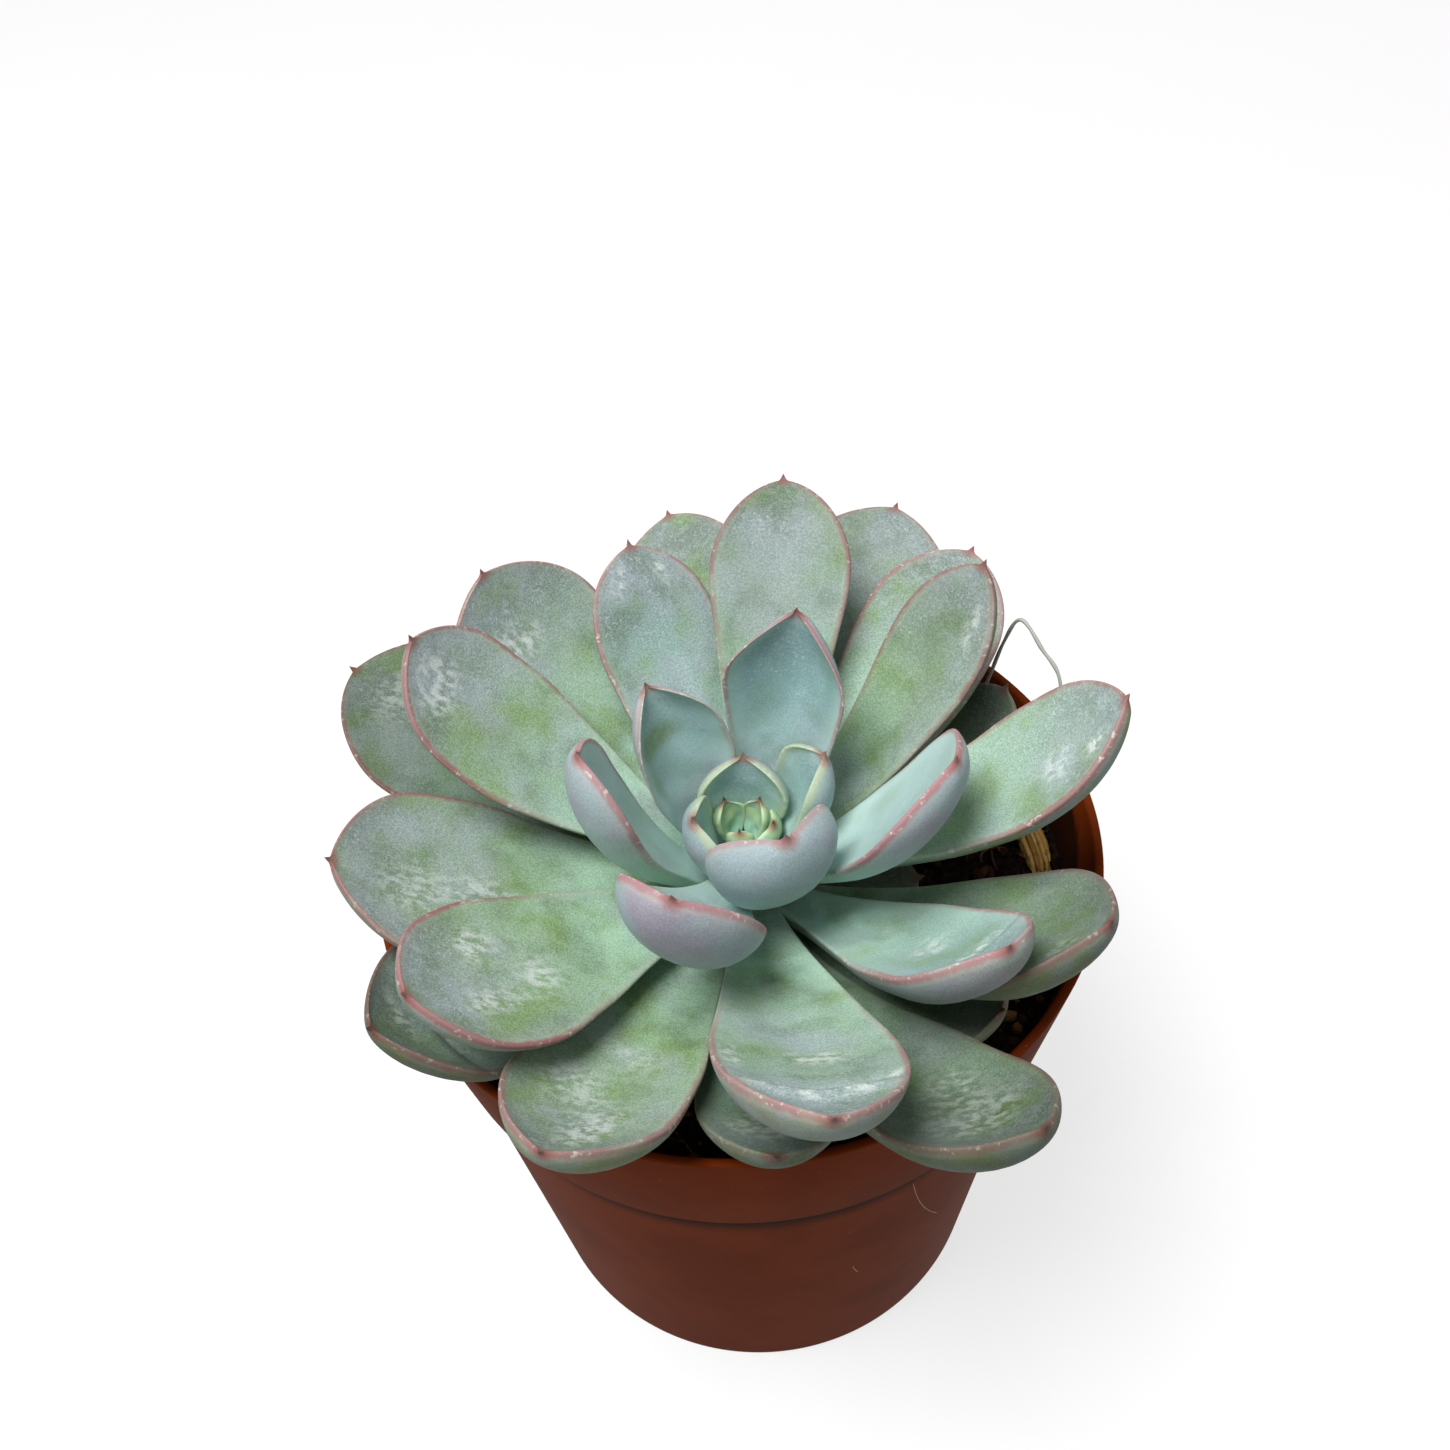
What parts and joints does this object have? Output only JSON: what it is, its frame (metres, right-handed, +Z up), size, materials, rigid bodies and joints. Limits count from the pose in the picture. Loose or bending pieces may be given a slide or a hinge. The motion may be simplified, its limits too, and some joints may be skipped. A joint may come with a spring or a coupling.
{
  "type": "potted echeveria pulidonis",
  "caption": "Rosette succulent with thick spoon-shaped blue-green leaves edged in pink-red, growing on a short stem in a round tapered nursery pot of dark peat.",
  "frame": {"origin": "middle of the pot's flat underside, on the surface it stands on", "axes": "+Z up through the pot, -Y towards the side the picture is taken from, +X to the right in the picture"},
  "size_m": [0.1092, 0.1218, 0.1363],
  "materials": {
    "pot": "satin terracotta-brown plastic",
    "soil": "damp dark peat with brown fibres",
    "bark": "dry fibrous straw-brown bark",
    "stem": "matt fleshy green stem",
    "leaf": "waxy bloom over grey-green, thin red edge",
    "young_leaf": "waxy bloom over pale blue-green, lavender-grey back, pink edge"
  },
  "bodies": {
    "root": {"pot": "pot", "soil": "soil", "bark_chip": "bark", "stem": "stem", "heart": "young_leaf", "leaf_01": "young_leaf", "leaf_02": "young_leaf", "leaf_03": "young_leaf", "leaf_04": "young_leaf", "leaf_05": "young_leaf", "leaf_06": "young_leaf", "leaf_07": "young_leaf", "leaf_08": "young_leaf", "leaf_09": "young_leaf", "leaf_10": "leaf", "leaf_11": "leaf", "leaf_12": "leaf", "leaf_13": "leaf", "leaf_14": "leaf", "leaf_15": "leaf", "leaf_16": "leaf", "leaf_17": "leaf", "leaf_18": "leaf", "leaf_19": "leaf", "leaf_20": "leaf", "leaf_21": "leaf", "leaf_22": "leaf", "leaf_23": "leaf", "leaf_24": "leaf", "leaf_25": "leaf", "leaf_26": "leaf", "leaf_27": "leaf", "leaf_28": "leaf", "leaf_30": "leaf", "leaf_32": "leaf", "leaf_33": "leaf"}
  },
  "joints": []
}
